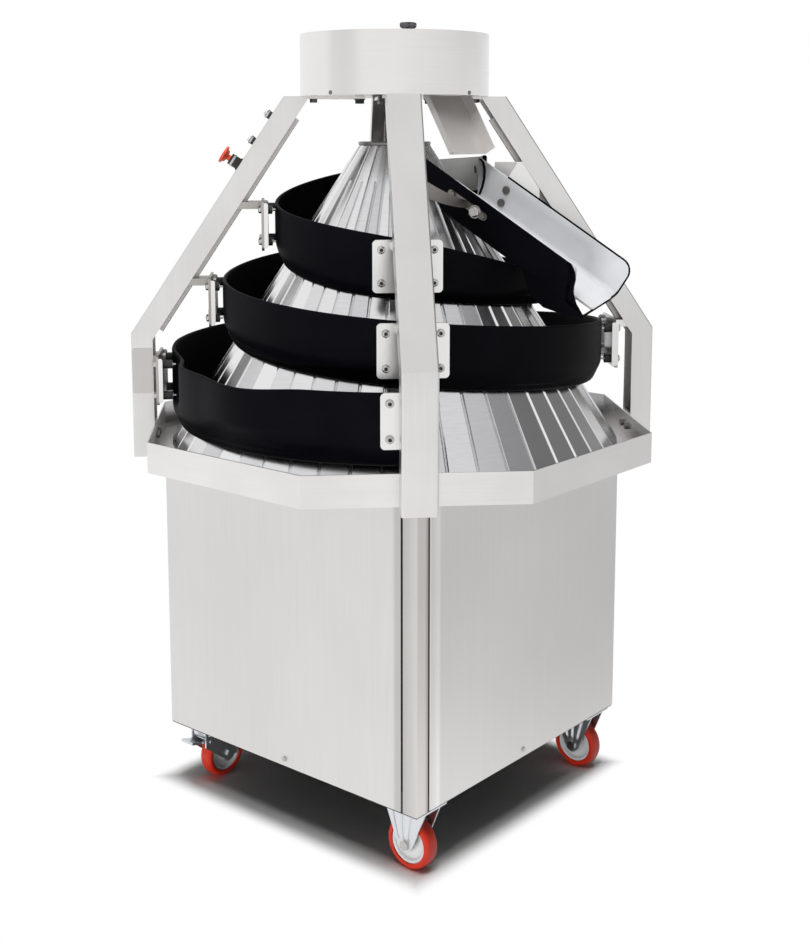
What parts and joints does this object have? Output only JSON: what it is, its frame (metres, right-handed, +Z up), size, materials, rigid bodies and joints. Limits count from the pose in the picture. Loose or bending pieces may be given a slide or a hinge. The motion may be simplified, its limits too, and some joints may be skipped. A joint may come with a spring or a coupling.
{
  "type": "conical dough rounder",
  "caption": "Conical dough rounder on castors: a turning grooved cone inside spiral tracks shapes dough pieces into balls, dusted from a flour drum carried on bent posts",
  "frame": {"origin": "on the floor under the cone's axis, the middle of the bounding box's bottom", "axes": "+Z up along the cone's axis, -Y out of the front panel, +X out of the right panel, toward which the outlet chute runs"},
  "size_m": [0.965, 0.965, 1.555],
  "materials": {
    "brushed_stainless": "brushed stainless sheet",
    "frame_steel": "mill-finish steel",
    "black_coating": "satin black non-stick coating on cast aluminium",
    "bracket_steel": "cut stainless plate",
    "bright_fasteners": "bright stainless fasteners",
    "cone_aluminium": "machined aluminium",
    "ground_steel": "ground shaft steel",
    "bearing_iron": "painted cast iron",
    "motor_paint": "grey-blue motor enamel",
    "switch_box_paint": "light grey powder coat",
    "chute_grey": "light grey coated sheet",
    "collar_steel": "dull metal collars",
    "red_plastic": "glossy red plastic",
    "button_green": "glossy plastic",
    "button_red": "glossy plastic",
    "black_plastic": "black phenolic",
    "zinc_plate": "bright zinc plate",
    "red_tread": "red polyurethane",
    "white_hub": "white nylon"
  },
  "bodies": {
    "machine_frame": {"base_frame": "frame_steel", "chute_fasteners": "bright_fasteners", "chute_support": "bracket_steel", "control_collars": "collar_steel", "corner_columns": "brushed_stainless", "deck_plate": "brushed_stainless", "deflector_plate": "chute_grey", "fixed_castor_brackets": "zinc_plate", "flour_chute": "brushed_stainless", "flour_drum": "brushed_stainless", "flour_sieve": "brushed_stainless", "gearbox": "bearing_iron", "lower_bearing": "bearing_iron", "motor": "motor_paint", "outlet_chute": "chute_grey", "outlet_guide": "black_coating", "panel_screws": "bright_fasteners", "post_bolts": "bright_fasteners", "post_front_left": "brushed_stainless", "post_front_right": "brushed_stainless", "post_rear_left": "brushed_stainless", "post_rear_right": "brushed_stainless", "side_panel_front": "brushed_stainless", "side_panel_left": "brushed_stainless", "side_panel_rear": "brushed_stainless", "side_panel_right": "brushed_stainless", "switch_box": "switch_box_paint", "swivel_plates": "zinc_plate", "track_brackets_front_left": "bracket_steel", "track_brackets_front_right": "bracket_steel", "track_brackets_rear_left": "bracket_steel", "track_brackets_rear_right": "bracket_steel", "track_lower": "black_coating", "track_middle": "black_coating", "track_screws": "bright_fasteners", "track_upper": "black_coating", "tray": "brushed_stainless", "upper_bearing": "bearing_iron"},
    "rotor": {"cone": "cone_aluminium", "cone_cap": "cone_aluminium", "cone_hub": "frame_steel", "main_shaft": "ground_steel", "agitator": "ground_steel"},
    "lid": {"drum_lid": "brushed_stainless"},
    "knob": {"lid_knob": "black_plastic"},
    "estop": {"estop_button": "red_plastic"},
    "start": {"start_button": "button_green"},
    "stop": {"stop_button": "button_red"},
    "swivel_front": {"swivel_fork_front": "zinc_plate"},
    "swivel_rear": {"swivel_fork_rear": "zinc_plate"},
    "pedal_front": {"brake_pedal_front": "zinc_plate"},
    "pedal_rear": {"brake_pedal_rear": "zinc_plate"},
    "wheel_front_left": {"wheel_tread_front_left": "red_tread", "wheel_hub_front_left": "white_hub"},
    "wheel_front_right": {"wheel_tread_front_right": "red_tread", "wheel_hub_front_right": "white_hub"},
    "wheel_rear_left": {"wheel_tread_rear_left": "red_tread", "wheel_hub_rear_left": "white_hub"},
    "wheel_rear_right": {"wheel_tread_rear_right": "red_tread", "wheel_hub_rear_right": "white_hub"}
  },
  "joints": [
    {"name": "cone_spin", "type": "hinge", "parent": "machine_frame", "child": "rotor", "pos_m": [0, 0, 1], "axis": [0, 0, 1], "continuous": true},
    {"name": "lid_lift", "type": "slide", "parent": "machine_frame", "child": "lid", "axis": [0, 0, 1], "range_m": [0, 0.25]},
    {"name": "knob_turn", "type": "hinge", "parent": "lid", "child": "knob", "pos_m": [0.0207, 0.0173, 1.529], "axis": [0, 0, 1], "continuous": true},
    {"name": "estop_press", "type": "slide", "parent": "machine_frame", "child": "estop", "axis": [0.5899, 0.5899, -0.5514], "range_m": [0, 0.006]},
    {"name": "start_press", "type": "slide", "parent": "machine_frame", "child": "start", "axis": [0.5899, 0.5899, -0.5514], "range_m": [0, 0.003], "stiffness_N_per_m": 800},
    {"name": "stop_press", "type": "slide", "parent": "machine_frame", "child": "stop", "axis": [0.5899, 0.5899, -0.5514], "range_m": [0, 0.003], "stiffness_N_per_m": 800},
    {"name": "swivel_front_turn", "type": "hinge", "parent": "machine_frame", "child": "swivel_front", "pos_m": [-0.275, -0.275, 0.11], "axis": [0, 0, 1], "continuous": true},
    {"name": "pedal_front_press", "type": "hinge", "parent": "swivel_front", "child": "pedal_front", "pos_m": [-0.275, -0.291, 0.092], "axis": [-1, 0, 0], "range_deg": [0, 18]},
    {"name": "wheel_front_left_spin", "type": "hinge", "parent": "swivel_front", "child": "wheel_front_left", "pos_m": [-0.275, -0.241, 0.05], "axis": [1, 0, 0], "continuous": true},
    {"name": "wheel_front_right_spin", "type": "hinge", "parent": "machine_frame", "child": "wheel_front_right", "pos_m": [0.277, -0.277, 0.05], "axis": [0, 1, 0], "continuous": true},
    {"name": "swivel_rear_turn", "type": "hinge", "parent": "machine_frame", "child": "swivel_rear", "pos_m": [-0.275, 0.275, 0.11], "axis": [0, 0, 1], "continuous": true},
    {"name": "pedal_rear_press", "type": "hinge", "parent": "swivel_rear", "child": "pedal_rear", "pos_m": [-0.275, 0.259, 0.092], "axis": [-1, 0, 0], "range_deg": [0, 18]},
    {"name": "wheel_rear_left_spin", "type": "hinge", "parent": "swivel_rear", "child": "wheel_rear_left", "pos_m": [-0.275, 0.309, 0.05], "axis": [1, 0, 0], "continuous": true},
    {"name": "wheel_rear_right_spin", "type": "hinge", "parent": "machine_frame", "child": "wheel_rear_right", "pos_m": [0.277, 0.277, 0.05], "axis": [0, 1, 0], "continuous": true}
  ]
}
